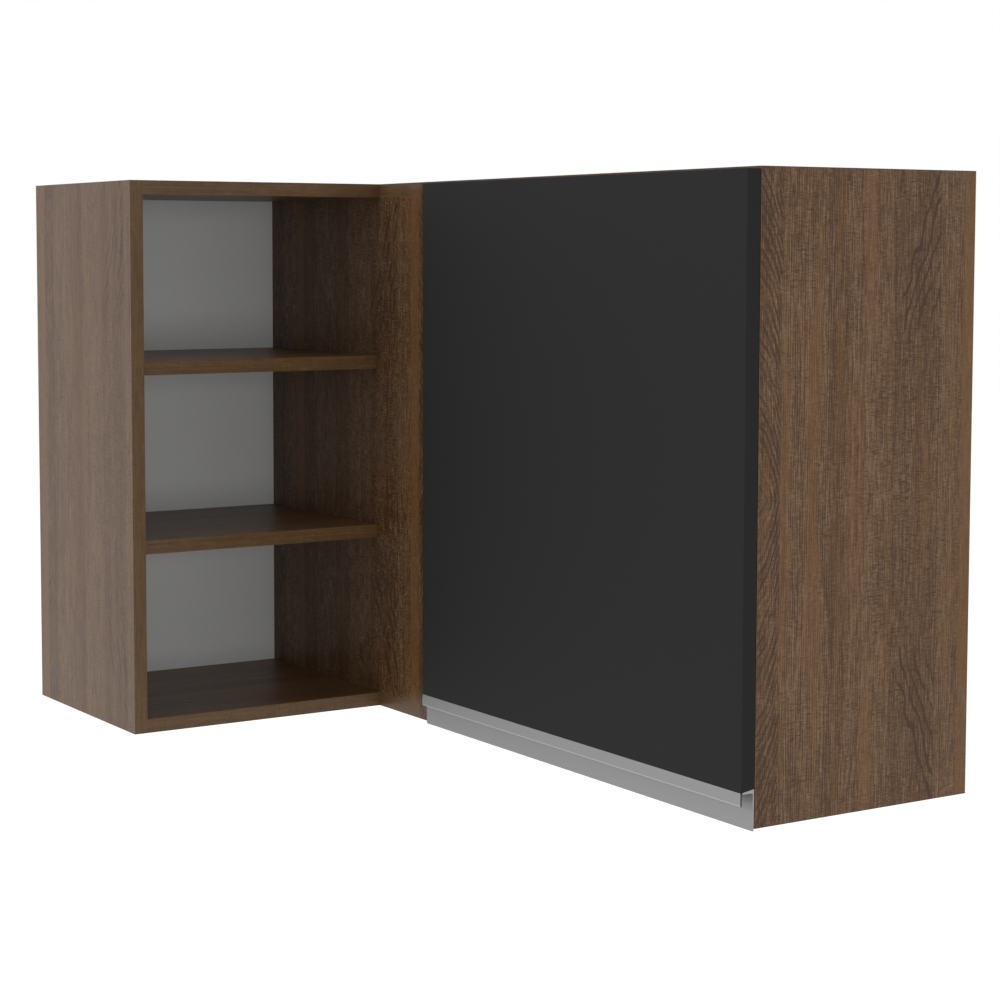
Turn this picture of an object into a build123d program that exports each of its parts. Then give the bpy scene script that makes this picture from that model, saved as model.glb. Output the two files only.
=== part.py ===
from build123d import *
from math import atan2, degrees, hypot
import os

# Corner wall cabinet: an open niche wing along wall 1 (the plane y = 0) and a cupboard wing with one
# door along wall 2 (the plane x = 0). The walls meet at x = y = 0, z = 0 is the carcass underside.
# The niche looks towards -Y, the door looks towards -X.

# ---------------------------------------------------------------- driving dimensions, mm
HEIGHT = 720
DEPTH = 316
NICHE_LENGTH = 687
CUPBOARD_LENGTH = 1120
BOARD = 18
BACK = 3
SHELF_SETBACK = 8
FILLER_WIDTH = 100
STILE_WIDTH = 62
STILE_OVERLAP = 18
DOOR_THICKNESS = 18
DOOR_GAP = 1
DOOR_BOTTOM = 41.5
DOOR_TOP_REVEAL = 3
DOOR_BEVEL = 2.8
HINGE_INSET = 100

# ---------------------------------------------------------------- shared fits and small stock sizes
PRESS_GAP = 0.05
RUNNING_GAP = 0.05
LOOSE_GAP = 2
REBATE = 9
BACK_INSET = 1
REAR_ROW = 60
FRONT_ROW = 50
END_MARGIN = 60
BATTEN_HEIGHT = 80
POST_WIDTH = 80

# ---------------------------------------------------------------- planes of the carcass
LEFT = -NICHE_LENGTH
RIGHT = -CUPBOARD_LENGTH
FRONT = -DEPTH
BOARD_REAR = -BACK
INNER_LEFT = LEFT + BOARD
INNER_RIGHT = RIGHT + BOARD
INNER_FRONT = FRONT + BOARD
ROOF = HEIGHT - BOARD
STILE_EDGE = FRONT - FILLER_WIDTH
STILE_END = STILE_EDGE - STILE_WIDTH
DOOR_EDGE = STILE_END + STILE_OVERLAP
DOOR_BACK = FRONT - DOOR_GAP
DOOR_FRONT = DOOR_BACK - DOOR_THICKNESS
DOOR_TOP = HEIGHT - DOOR_TOP_REVEAL
CLEAR_HEIGHT = (ROOF - BOARD - 2 * BOARD) / 3
LOWER_SHELF = BOARD + CLEAR_HEIGHT
UPPER_SHELF = LOWER_SHELF + BOARD + CLEAR_HEIGHT
LOOSE_SHELF = (HEIGHT - BOARD) / 2


def block(x, y, z, mode=Mode.ADD):
    """A box between the limits given for each axis."""
    with BuildSketch(Plane.XY.offset(z[0])) as outline:
        with Locations(((x[0] + x[1]) / 2, (y[0] + y[1]) / 2)):
            Rectangle(x[1] - x[0], y[1] - y[0])
    extrude(outline.sketch, amount=z[1] - z[0], mode=mode)


def step(point, direction, distance):
    """The point a distance further along a direction."""
    return tuple(p + d * distance for p, d in zip(point, direction))


def rods(starts, radius, length, mode=Mode.ADD, offset=0):
    """Equal round rods or bores, each from its point (moved on by the offset) in its direction."""
    planes = [Plane(origin=step(point, direction, offset), z_dir=direction) for point, direction in starts]
    with BuildSketch(*planes) as outline:
        Circle(radius)
    extrude(outline.sketch, amount=length, mode=mode)


def rod(point, direction, radius, length, mode=Mode.ADD):
    """One round rod or bore that starts at a point and runs in a direction."""
    rods([(point, direction)], radius, length, mode)


def finish(builder, name):
    """Label a finished piece and write it."""
    builder.part.label = name
    export_step(builder.part, f"parts/{name}.step")


os.makedirs("parts", exist_ok=True)

X_UP = (1, 0, 0)
X_DOWN = (-1, 0, 0)
Y_UP = (0, 1, 0)
Y_DOWN = (0, -1, 0)
Z_UP = (0, 0, 1)
Z_DOWN = (0, 0, -1)

# ---------------------------------------------------------------- cam joints
# Each joint: the point on the joint plane at the board's mid-thickness, the direction from the panel
# into the board, and the side of the board from which the cam is set.
CAM_RADIUS = 7.5
CAM_DEPTH = 13.5
CAM_DISTANCE = 34
CAM_SLOT = 8
BOLT_SHANK_RADIUS = 3
BOLT_BORE_RADIUS = 3.5
BOLT_THREAD_RADIUS = 2.5
BOLT_THREAD_LENGTH = 11
BOLT_HEAD_RADIUS = 3.4
BOLT_HEAD_LENGTH = 3
CAM_ROWS = (-REAR_ROW, FRONT + FRONT_ROW)

cam_joints = []
for row in CAM_ROWS:
    cam_joints.append(((INNER_LEFT, row, ROOF + BOARD / 2), X_UP, Z_UP))
    cam_joints.append(((INNER_LEFT, row, BOARD / 2), X_UP, Z_DOWN))
    cam_joints.append(((row, INNER_RIGHT, ROOF + BOARD / 2), Y_UP, Z_UP))
    cam_joints.append(((row, INNER_RIGHT, BOARD / 2), Y_UP, Z_DOWN))
    for shelf in (LOWER_SHELF, UPPER_SHELF):
        cam_joints.append(((INNER_LEFT, row, shelf + BOARD / 2), X_UP, Z_DOWN))
        cam_joints.append(((FRONT, row, shelf + BOARD / 2), X_DOWN, Z_DOWN))


CAM_FLOOR = BOARD / 2 - CAM_DEPTH
BOLT_NECK = CAM_DISTANCE - BOLT_HEAD_LENGTH
CROSS_DEPTH = 3
CROSS_LENGTH = 7
CROSS_WIDTH = 1.4

bolt_starts = [(point, inward) for point, inward, face in cam_joints]
cam_starts = [(step(point, inward, CAM_DISTANCE), face) for point, inward, face in cam_joints]

with BuildPart() as cam_bolts:
    rods(bolt_starts, BOLT_THREAD_RADIUS, BOLT_THREAD_LENGTH, offset=-BOLT_THREAD_LENGTH)
    rods(bolt_starts, BOLT_SHANK_RADIUS, BOLT_NECK)
    rods(bolt_starts, BOLT_HEAD_RADIUS, BOLT_HEAD_LENGTH, offset=BOLT_NECK)
finish(cam_bolts, "cam_bolts")

with BuildPart() as cam_locks:
    rods(cam_starts, CAM_RADIUS - PRESS_GAP, CAM_DEPTH, offset=CAM_FLOOR)
    rods(bolt_starts, CAM_SLOT / 2, CAM_DISTANCE + CAM_SLOT / 2, Mode.SUBTRACT)
    mouths = [Plane(origin=step(point, face, BOARD / 2 - CROSS_DEPTH), z_dir=face) for point, face in cam_starts]
    with BuildSketch(*mouths) as crosses:
        Rectangle(CROSS_LENGTH, CROSS_WIDTH)
        Rectangle(CROSS_WIDTH, CROSS_LENGTH)
    extrude(crosses.sketch, amount=CROSS_DEPTH, mode=Mode.SUBTRACT)
finish(cam_locks, "cam_locks")

# ---------------------------------------------------------------- dowels
# Each dowel: the point on the joint plane and the direction of its longer half.
DOWEL_RADIUS = 4
DOWEL_LONG = 22
DOWEL_SHORT = 12
DOWEL_FRONT_ROW = 66
PARTITION_REAR_ROW = 100
BATTEN_DOWEL_SPREAD = 25
POST_MIDDLE = BOARD_REAR - POST_WIDTH / 2
BATTEN_MIDDLE = ROOF - BATTEN_HEIGHT / 2

dowel_joints = []
for level in (BOARD / 2, ROOF + BOARD / 2):
    dowel_joints.append(((INNER_LEFT, -DEPTH / 2, level), X_UP))
    dowel_joints.append(((-DEPTH / 2, INNER_RIGHT, level), Y_UP))
    dowel_joints.append(((INNER_FRONT, STILE_EDGE - STILE_WIDTH / 2, level), X_UP))
    for place in (-REAR_ROW, FRONT + DOWEL_FRONT_ROW):
        dowel_joints.append(((place, FRONT, level), Y_DOWN))
for shelf in (LOWER_SHELF, UPPER_SHELF):
    dowel_joints.append(((INNER_LEFT, -DEPTH / 2, shelf + BOARD / 2), X_UP))
    dowel_joints.append(((FRONT, -DEPTH / 2, shelf + BOARD / 2), X_DOWN))
for place in (-PARTITION_REAR_ROW, FRONT + DOWEL_FRONT_ROW):
    dowel_joints.append(((FRONT + BOARD / 2, place, BOARD), Z_UP))
    dowel_joints.append(((FRONT + BOARD / 2, place, ROOF), Z_DOWN))
dowel_joints.append(((BOARD_REAR - BOARD / 2, POST_MIDDLE, BOARD), Z_UP))
dowel_joints.append(((BOARD_REAR - BOARD / 2, POST_MIDDLE, ROOF), Z_DOWN))
for level in (HEIGHT / 4, HEIGHT / 2, 3 * HEIGHT / 4):
    dowel_joints.append(((FRONT + BOARD / 2, STILE_EDGE, level), Y_UP))
for level in (BATTEN_MIDDLE - BATTEN_DOWEL_SPREAD, BATTEN_MIDDLE + BATTEN_DOWEL_SPREAD):
    dowel_joints.append(((BOARD_REAR - BOARD / 2, INNER_RIGHT, level), Y_UP))
    dowel_joints.append(((BOARD_REAR - BOARD / 2, BOARD_REAR - POST_WIDTH, level), Y_DOWN))
    dowel_joints.append(((INNER_FRONT, BOARD_REAR - BOARD / 2, level), X_UP))

with BuildPart() as dowels:
    rods(dowel_joints, DOWEL_RADIUS, DOWEL_SHORT + DOWEL_LONG, offset=-DOWEL_SHORT)
finish(dowels, "dowels")

# ---------------------------------------------------------------- back panel nails
NAIL_RADIUS = 0.8
NAIL_LENGTH = 20
NAIL_HEAD_RADIUS = 1.8
NAIL_HEAD_DEPTH = 0.8


def spread(first, last, count):
    """Evenly spaced places from first to last."""
    return [first + (last - first) * i / (count - 1) for i in range(count)]


niche_nail_row = spread(LEFT + END_MARGIN, -END_MARGIN, 6)
cupboard_nail_row = spread(RIGHT + END_MARGIN, -2 * END_MARGIN, 9)
nails = []
for level in spread(HEIGHT / 12, HEIGHT - HEIGHT / 12, 6):
    nails.append(((LEFT + BOARD - REBATE / 2, 0, level), Y_DOWN))
    nails.append(((0, RIGHT + BOARD - REBATE / 2, level), X_DOWN))
for level in (BOARD / 2, HEIGHT - BOARD / 2):
    for place in niche_nail_row:
        nails.append(((place, 0, level), Y_DOWN))
    for place in cupboard_nail_row:
        nails.append(((0, place, level), X_DOWN))
for shelf in (LOWER_SHELF, UPPER_SHELF):
    for place in spread(LEFT + 2 * END_MARGIN, FRONT - END_MARGIN, 3):
        nails.append(((place, 0, shelf + BOARD / 2), Y_DOWN))

with BuildPart() as back_panel_nails:
    rods(nails, NAIL_HEAD_RADIUS, NAIL_HEAD_DEPTH)
    rods(nails, NAIL_RADIUS, NAIL_LENGTH)
finish(back_panel_nails, "back_panel_nails")

# ---------------------------------------------------------------- shelf support pins
PIN_RADIUS = 2.5
PIN_SUNK = 8
PIN_PROUD = 9
PIN_LEVEL = LOOSE_SHELF - PIN_RADIUS

support_pins = [
    ((-REAR_ROW, INNER_RIGHT, PIN_LEVEL), Y_UP),
    ((FRONT + FRONT_ROW, INNER_RIGHT, PIN_LEVEL), Y_UP),
    ((INNER_FRONT, -REAR_ROW, PIN_LEVEL), X_UP),
    ((INNER_FRONT, STILE_EDGE + FRONT_ROW, PIN_LEVEL), X_UP),
    ((BOARD_REAR - BOARD, POST_MIDDLE, PIN_LEVEL), X_DOWN),
]

with BuildPart() as shelf_support_pins:
    rods(support_pins, PIN_RADIUS, PIN_SUNK + PIN_PROUD, offset=-PIN_SUNK)
finish(shelf_support_pins, "shelf_support_pins")

# ---------------------------------------------------------------- joining plates between the two wings
PLATE_THICKNESS = 2
PLATE_LENGTH = 140
PLATE_REACH = 30
PLATE_MIDDLE = -DEPTH / 2
SCREW_RADIUS = 2
SCREW_LENGTH = 14
SCREW_HEAD_RADIUS = 3.6
SCREW_HEAD_HEIGHT = 2
PLATE_SCREW_SPREAD_X = 55
PLATE_SCREW_SPREAD_Y = 18
PLATE_SCREW_OFFSETS = [
    (dx, dy)
    for dx in (-PLATE_SCREW_SPREAD_X, PLATE_SCREW_SPREAD_X)
    for dy in (-PLATE_SCREW_SPREAD_Y, PLATE_SCREW_SPREAD_Y)
]

with BuildPart() as joining_plates:
    for floor in (BOARD, ROOF - PLATE_THICKNESS):
        block(
            (PLATE_MIDDLE - PLATE_LENGTH / 2, PLATE_MIDDLE + PLATE_LENGTH / 2),
            (FRONT - PLATE_REACH, FRONT + PLATE_REACH),
            (floor, floor + PLATE_THICKNESS),
        )
    holes = [((PLATE_MIDDLE + dx, FRONT + dy, 0), Z_UP) for dx, dy in PLATE_SCREW_OFFSETS]
    rods(holes, SCREW_RADIUS + PRESS_GAP, HEIGHT, Mode.SUBTRACT)
finish(joining_plates, "joining_plates")


def screws(seats):
    """Pan-head screws whose heads stand on their seats and whose shanks run in their directions."""
    rods(seats, SCREW_RADIUS, SCREW_LENGTH)
    rods(seats, SCREW_HEAD_RADIUS, SCREW_HEAD_HEIGHT, offset=-SCREW_HEAD_HEIGHT)


joining_screws = []
for dx, dy in PLATE_SCREW_OFFSETS:
    joining_screws.append(((PLATE_MIDDLE + dx, FRONT + dy, BOARD + PLATE_THICKNESS), Z_DOWN))
    joining_screws.append(((PLATE_MIDDLE + dx, FRONT + dy, ROOF - PLATE_THICKNESS), Z_UP))

with BuildPart() as joining_plate_screws:
    screws(joining_screws)
finish(joining_plate_screws, "joining_plate_screws")

# ---------------------------------------------------------------- keyhole hangers on the niche top board
HANGER_LENGTH = 42
HANGER_HEIGHT = 17
HANGER_THICKNESS = 2
HANGER_PLACES = (sum(niche_nail_row[:2]) / 2, sum(niche_nail_row[2:4]) / 2)
HANGER_LEVEL = HEIGHT - BOARD / 2
KEYHOLE_RADIUS = 4.3
KEYHOLE_LEVEL = HANGER_LEVEL - 2
KEYHOLE_SLOT = 4.2
KEYHOLE_TOP = HANGER_LEVEL + 5.5
HANGER_SCREW_SPREAD = 15.5
POCKET_HALF = 6
POCKET_HALF_HEIGHT = 7
POCKET_DEPTH = 8
SMALL_SCREW_RADIUS = 1.5
SMALL_SCREW_LENGTH = 14
SMALL_HEAD_HEIGHT = 1.5
SMALL_HEAD_RADIUS = 2.8

hanger_screw_seats = [
    ((place + side * HANGER_SCREW_SPREAD, BOARD_REAR + HANGER_THICKNESS, HANGER_LEVEL), Y_DOWN)
    for place in HANGER_PLACES
    for side in (-1, 1)
]

with BuildPart() as keyhole_hangers:
    for place in HANGER_PLACES:
        block(
            (place - HANGER_LENGTH / 2, place + HANGER_LENGTH / 2),
            (BOARD_REAR, BOARD_REAR + HANGER_THICKNESS),
            (HANGER_LEVEL - HANGER_HEIGHT / 2, HANGER_LEVEL + HANGER_HEIGHT / 2),
        )
        rod((place, BOARD_REAR, KEYHOLE_LEVEL), Y_UP, KEYHOLE_RADIUS, HANGER_THICKNESS, Mode.SUBTRACT)
        block(
            (place - KEYHOLE_SLOT / 2, place + KEYHOLE_SLOT / 2),
            (BOARD_REAR, BOARD_REAR + HANGER_THICKNESS),
            (KEYHOLE_LEVEL, KEYHOLE_TOP),
            Mode.SUBTRACT,
        )
    rods(hanger_screw_seats, SMALL_HEAD_RADIUS + PRESS_GAP, SMALL_HEAD_HEIGHT, Mode.SUBTRACT)
    rods(hanger_screw_seats, SMALL_SCREW_RADIUS + PRESS_GAP, HANGER_THICKNESS, Mode.SUBTRACT)
finish(keyhole_hangers, "keyhole_hangers")

with BuildPart() as keyhole_screws:
    rods(hanger_screw_seats, SMALL_HEAD_RADIUS, SMALL_HEAD_HEIGHT)
    rods(hanger_screw_seats, SMALL_SCREW_RADIUS, SMALL_SCREW_LENGTH)
finish(keyhole_screws, "keyhole_screws")

# ---------------------------------------------------------------- wall screw holes in the battens
WALL_BORE_RADIUS = 3.25
BACK_BORE_RADIUS = 5
LONG_WALL_BORES = (-180, RIGHT + 120)
CORNER_WALL_BORES = (-80, FRONT + 76)

# ---------------------------------------------------------------- hinge geometry
# Plan of a hinge, measured from the outer front corner of the right end panel: v runs along the door
# from its hinge edge, u runs out of the cupboard. The link turns half as far back as the door opens.
HINGE_HEIGHTS = (DOOR_BOTTOM + HINGE_INSET, DOOR_TOP - HINGE_INSET)
ARM_PIN = (36, -6)
CUP_PIN = (12, 4)
LINK_PATH = (CUP_PIN, (16, 7.5), (24, 7.5), (30, 1.5), ARM_PIN)
LINK_WIDTH = 3.2
LINK_EYE_RADIUS = 2.8
LINK_HALF = 5
HINGE_PIN_RADIUS = 1.5
CUP_CENTRE = 22.5
CUP_RADIUS = 17.5
CUP_WALL = 1.2
CUP_DEPTH = 12
CUP_FLOOR = 1
FLANGE_THICKNESS = 0.8
FLANGE_START = 20.5
FLANGE_END = 38
FLANGE_HALF = 30
CUP_SCREW_PLACE = 32
CUP_SCREW_SPREAD = 24
CUP_PIN_HALF = 12.5
ARM_CHEEK = 1.5
ARM_HALF = LINK_HALF + 0.3 + ARM_CHEEK
ARM_NOSE = ARM_PIN[1] + 3.5
ARM_TAIL = -68
ARM_TOP = ARM_PIN[0] + 4
ARM_CHEEK_FOOT = ARM_PIN[0] - 5
ARM_WEB_END = ARM_PIN[1] - 7
BASE_NOSE = -24
BASE_TAIL = -66
PLATE_SCREW_SETBACK = -37
PLATE_SCREW_SPREAD = 16
WING_HALF = 24
WING_WIDTH = 8
WING_THICKNESS = 2
ARM_SCREW_PLACE = -52


def on_plan(v, u, z=0):
    """A point of the hinge plan in the cabinet's frame."""
    return (FRONT - u, RIGHT + v, z)


def plan_block(v, u, z, mode=Mode.ADD):
    """A box given by its limits on the hinge plan."""
    block((FRONT - u[1], FRONT - u[0]), (RIGHT + v[0], RIGHT + v[1]), z, mode)


def capsule(start, end, width, z):
    """A strip with round ends between two points of the hinge plan."""
    first = on_plan(*start)
    last = on_plan(*end)
    run = (last[0] - first[0], last[1] - first[1])
    with BuildSketch(Plane.XY.offset(z[0])) as outline:
        with Locations(((first[0] + last[0]) / 2, (first[1] + last[1]) / 2)):
            SlotCenterToCenter(hypot(*run), width, rotation=degrees(atan2(run[1], run[0])))
    extrude(outline.sketch, amount=z[1] - z[0])


# ---------------------------------------------------------------- all bores that the fasteners need
cup_screw_seats = [
    (on_plan(CUP_SCREW_PLACE, DOOR_GAP - FLANGE_THICKNESS, level + side * CUP_SCREW_SPREAD), X_DOWN)
    for level in HINGE_HEIGHTS
    for side in (-1, 1)
]
arm_screw_seats = [(on_plan(ARM_TOP, ARM_SCREW_PLACE, level), Y_DOWN) for level in HINGE_HEIGHTS]
plate_screw_seats = [
    (on_plan(BOARD + WING_THICKNESS, PLATE_SCREW_SETBACK, level + side * PLATE_SCREW_SPREAD), Y_DOWN)
    for level in HINGE_HEIGHTS
    for side in (-1, 1)
]
long_wall_bores = [((0, place, BATTEN_MIDDLE), X_DOWN) for place in LONG_WALL_BORES]
corner_wall_bores = [((place, 0, BATTEN_MIDDLE), Y_DOWN) for place in CORNER_WALL_BORES]
wall_bores = long_wall_bores + corner_wall_bores

with BuildPart() as bores:
    rods(bolt_starts, BOLT_THREAD_RADIUS + PRESS_GAP, BOLT_THREAD_LENGTH, offset=-BOLT_THREAD_LENGTH)
    rods(bolt_starts, BOLT_BORE_RADIUS, CAM_DISTANCE)
    rods(cam_starts, CAM_RADIUS, CAM_DEPTH, offset=CAM_FLOOR)
    rods(dowel_joints, DOWEL_RADIUS + PRESS_GAP, DOWEL_SHORT + DOWEL_LONG + 1, offset=-DOWEL_SHORT)
    rods(nails, NAIL_HEAD_RADIUS + PRESS_GAP, NAIL_HEAD_DEPTH)
    rods(nails, NAIL_RADIUS + PRESS_GAP, NAIL_LENGTH)
    rods(support_pins, PIN_RADIUS + PRESS_GAP, PIN_SUNK, offset=-PIN_SUNK)
    rods(joining_screws, SCREW_RADIUS + PRESS_GAP, SCREW_LENGTH)
    rods(plate_screw_seats, SCREW_RADIUS + PRESS_GAP, SCREW_LENGTH)
    rods(hanger_screw_seats, SMALL_SCREW_RADIUS + PRESS_GAP, SMALL_SCREW_LENGTH)
    rods(wall_bores, WALL_BORE_RADIUS, BACK + BOARD)
    rods(wall_bores, BACK_BORE_RADIUS, BACK)
    for place in HANGER_PLACES:
        block(
            (place - POCKET_HALF, place + POCKET_HALF),
            (BOARD_REAR - POCKET_DEPTH, BOARD_REAR),
            (HANGER_LEVEL - POCKET_HALF_HEIGHT, HANGER_LEVEL + POCKET_HALF_HEIGHT),
        )


def drill():
    """Cut every fastener bore from the board that is being made."""
    add(bores.part, mode=Mode.SUBTRACT)


# ---------------------------------------------------------------- end panels
with BuildPart() as left_end_panel:
    block((LEFT, INNER_LEFT), (FRONT, 0), (0, HEIGHT))
    block((INNER_LEFT - REBATE, INNER_LEFT), (BOARD_REAR, 0), (0, HEIGHT), Mode.SUBTRACT)
    drill()
finish(left_end_panel, "left_end_panel")

with BuildPart() as right_end_panel:
    block((FRONT, 0), (RIGHT, INNER_RIGHT), (0, HEIGHT))
    block((BOARD_REAR, 0), (INNER_RIGHT - REBATE, INNER_RIGHT), (0, HEIGHT), Mode.SUBTRACT)
    drill()
finish(right_end_panel, "right_end_panel")


# ---------------------------------------------------------------- top and bottom boards
def niche_board(floor):
    """The top or bottom board of the niche wing, which also closes the corner."""
    block((INNER_LEFT, BOARD_REAR), (FRONT, BOARD_REAR), (floor, floor + BOARD))
    drill()


def cupboard_board(floor):
    """The top or bottom board of the cupboard wing, notched for the corner stile."""
    block((FRONT, BOARD_REAR), (INNER_RIGHT, FRONT), (floor, floor + BOARD))
    block((FRONT, INNER_FRONT), (STILE_END, STILE_EDGE), (floor, floor + BOARD), Mode.SUBTRACT)
    drill()


with BuildPart() as niche_top_panel:
    niche_board(ROOF)
finish(niche_top_panel, "niche_top_panel")

with BuildPart() as niche_bottom_panel:
    niche_board(0)
finish(niche_bottom_panel, "niche_bottom_panel")

with BuildPart() as cupboard_top_panel:
    cupboard_board(ROOF)
finish(cupboard_top_panel, "cupboard_top_panel")

with BuildPart() as cupboard_bottom_panel:
    cupboard_board(0)
finish(cupboard_bottom_panel, "cupboard_bottom_panel")

# ---------------------------------------------------------------- stile, partition and corner post
with BuildPart() as corner_stile:
    block((FRONT, INNER_FRONT), (STILE_END, STILE_EDGE), (0, HEIGHT))
    drill()
finish(corner_stile, "corner_stile")

with BuildPart() as partition_panel:
    block((FRONT, INNER_FRONT), (STILE_EDGE, BOARD_REAR), (BOARD, ROOF))
    drill()
finish(partition_panel, "partition_panel")

with BuildPart() as corner_post:
    block((BOARD_REAR - BOARD, BOARD_REAR), (BOARD_REAR - POST_WIDTH, BOARD_REAR), (BOARD, ROOF))
    drill()
finish(corner_post, "corner_post")


# ---------------------------------------------------------------- shelves
def niche_shelf(floor):
    """A fixed shelf between the left end panel and the partition."""
    block((INNER_LEFT, FRONT), (FRONT + SHELF_SETBACK, BOARD_REAR), (floor, floor + BOARD))
    drill()


with BuildPart() as niche_shelf_lower:
    niche_shelf(LOWER_SHELF)
finish(niche_shelf_lower, "niche_shelf_lower")

with BuildPart() as niche_shelf_upper:
    niche_shelf(UPPER_SHELF)
finish(niche_shelf_upper, "niche_shelf_upper")

with BuildPart() as cupboard_shelf:
    block(
        (INNER_FRONT + LOOSE_GAP, BOARD_REAR - 1),
        (INNER_RIGHT + 1, BOARD_REAR - 1),
        (LOOSE_SHELF, LOOSE_SHELF + BOARD),
    )
    block(
        (BOARD_REAR - BOARD - LOOSE_GAP, BOARD_REAR),
        (BOARD_REAR - POST_WIDTH - LOOSE_GAP, BOARD_REAR),
        (LOOSE_SHELF, LOOSE_SHELF + BOARD),
        Mode.SUBTRACT,
    )
finish(cupboard_shelf, "cupboard_shelf")

# ---------------------------------------------------------------- hanging battens
with BuildPart() as hanging_batten_long:
    block(
        (BOARD_REAR - BOARD, BOARD_REAR),
        (INNER_RIGHT, BOARD_REAR - POST_WIDTH),
        (ROOF - BATTEN_HEIGHT, ROOF),
    )
    drill()
finish(hanging_batten_long, "hanging_batten_long")

with BuildPart() as hanging_batten_corner:
    block(
        (INNER_FRONT, BOARD_REAR - BOARD),
        (BOARD_REAR - BOARD, BOARD_REAR),
        (ROOF - BATTEN_HEIGHT, ROOF),
    )
    drill()
finish(hanging_batten_corner, "hanging_batten_corner")

# ---------------------------------------------------------------- back panels
with BuildPart() as niche_back_panel:
    block((INNER_LEFT - REBATE, 0), (BOARD_REAR, 0), (BACK_INSET, HEIGHT - BACK_INSET))
    for place in HANGER_PLACES:
        block(
            (place - HANGER_LENGTH / 2 - 1, place + HANGER_LENGTH / 2 + 1),
            (BOARD_REAR, 0),
            (ROOF, HEIGHT),
            Mode.SUBTRACT,
        )
    drill()
finish(niche_back_panel, "niche_back_panel")

with BuildPart() as cupboard_back_panel:
    block((BOARD_REAR, 0), (INNER_RIGHT - REBATE, BOARD_REAR), (BACK_INSET, HEIGHT - BACK_INSET))
    drill()
finish(cupboard_back_panel, "cupboard_back_panel")

# ---------------------------------------------------------------- handle profile and its screws
LIP_HEIGHT = 15
LIP_THICKNESS = 1.5
LIP_PROUD = 0.5
LIP_EDGE_ROUND = 0.7
WEB_THICKNESS = 1.5
BLADE_THICKNESS = 1.5
BLADE_BOTTOM = -2.5
BLADE_OVERRUN = 16
COVE_RADIUS = 1.5
LIP_CORNER_RADIUS = 2
LIP_TAPER = (1.3, 5)
PROFILE_SCREWS = 4
PROFILE_SCREW_LENGTH = 22
PROFILE_SCREW_RADIUS = 1.75
PROFILE_HEAD_RADIUS = 3
PROFILE_HEAD_HEIGHT = 1.8
PROFILE_SCREW_LINE = DOOR_FRONT + 6
BLADE_FRONT = DOOR_BACK - BLADE_THICKNESS
LIP_FACE = DOOR_FRONT - LIP_PROUD
LIP_BOTTOM = DOOR_BOTTOM - LIP_HEIGHT
WEB_UNDERSIDE = DOOR_BOTTOM - WEB_THICKNESS

profile_screw_seats = [
    ((PROFILE_SCREW_LINE, place, WEB_UNDERSIDE), Z_UP)
    for place in spread(RIGHT + END_MARGIN, DOOR_EDGE - END_MARGIN, PROFILE_SCREWS)
]

with BuildPart() as handle_profile:
    with BuildSketch(Plane.XZ.offset(-RIGHT)) as section:
        with BuildLine():
            Polyline(
                (LIP_FACE, LIP_BOTTOM),
                (LIP_FACE + LIP_THICKNESS, LIP_BOTTOM),
                (LIP_FACE + LIP_THICKNESS, WEB_UNDERSIDE),
                (BLADE_FRONT, WEB_UNDERSIDE),
                (BLADE_FRONT, BLADE_BOTTOM),
                (DOOR_BACK, BLADE_BOTTOM),
                (DOOR_BACK, DOOR_BOTTOM + DOOR_BEVEL),
                (DOOR_FRONT, DOOR_BOTTOM),
                (LIP_FACE, DOOR_BOTTOM),
                close=True,
            )
        make_face()
        cove = section.vertices().sort_by_distance((BLADE_FRONT, WEB_UNDERSIDE))[0]
        fillet(cove, COVE_RADIUS)
        lip_edge = section.vertices().sort_by_distance((LIP_FACE, LIP_BOTTOM))[0]
        fillet(lip_edge, LIP_EDGE_ROUND)
    extrude(amount=-(DOOR_EDGE + BLADE_OVERRUN - RIGHT))
    block(
        (LIP_FACE, BLADE_FRONT),
        (DOOR_EDGE, DOOR_EDGE + BLADE_OVERRUN),
        (BLADE_BOTTOM, DOOR_BOTTOM + DOOR_BEVEL),
        Mode.SUBTRACT,
    )
    with BuildSketch(Plane.YZ.offset(LIP_FACE)) as lip_corner:
        with BuildLine():
            Line((DOOR_EDGE - LIP_CORNER_RADIUS, LIP_BOTTOM), (DOOR_EDGE, LIP_BOTTOM))
            Line((DOOR_EDGE, LIP_BOTTOM), (DOOR_EDGE, LIP_BOTTOM + LIP_CORNER_RADIUS))
            RadiusArc(
                (DOOR_EDGE, LIP_BOTTOM + LIP_CORNER_RADIUS),
                (DOOR_EDGE - LIP_CORNER_RADIUS, LIP_BOTTOM),
                LIP_CORNER_RADIUS,
            )
        make_face()
    extrude(lip_corner.sketch, amount=LIP_THICKNESS, mode=Mode.SUBTRACT)
    with BuildSketch(Plane.YZ.offset(LIP_FACE)) as lip_taper:
        with BuildLine():
            Polyline(
                (DOOR_EDGE, DOOR_BOTTOM),
                (DOOR_EDGE, DOOR_BOTTOM - LIP_TAPER[1]),
                (DOOR_EDGE - LIP_TAPER[0], DOOR_BOTTOM),
                close=True,
            )
        make_face()
    extrude(lip_taper.sketch, amount=LIP_THICKNESS, mode=Mode.SUBTRACT)
    rods(profile_screw_seats, PROFILE_SCREW_RADIUS + PRESS_GAP, PROFILE_SCREW_LENGTH, Mode.SUBTRACT)
finish(handle_profile, "handle_profile")

with BuildPart() as handle_profile_screws:
    rods(profile_screw_seats, PROFILE_SCREW_RADIUS, PROFILE_SCREW_LENGTH)
    rods(profile_screw_seats, PROFILE_HEAD_RADIUS, PROFILE_HEAD_HEIGHT, offset=-PROFILE_HEAD_HEIGHT)
finish(handle_profile_screws, "handle_profile_screws")

# ---------------------------------------------------------------- door panel and bumpers
DOOR_EDGE_ROUND = 0.8
BUMPER_RADIUS = 4
BUMPER_THICKNESS = 0.8
BUMPER_INSET = 9
BUMPER_MARGIN = 30

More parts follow.
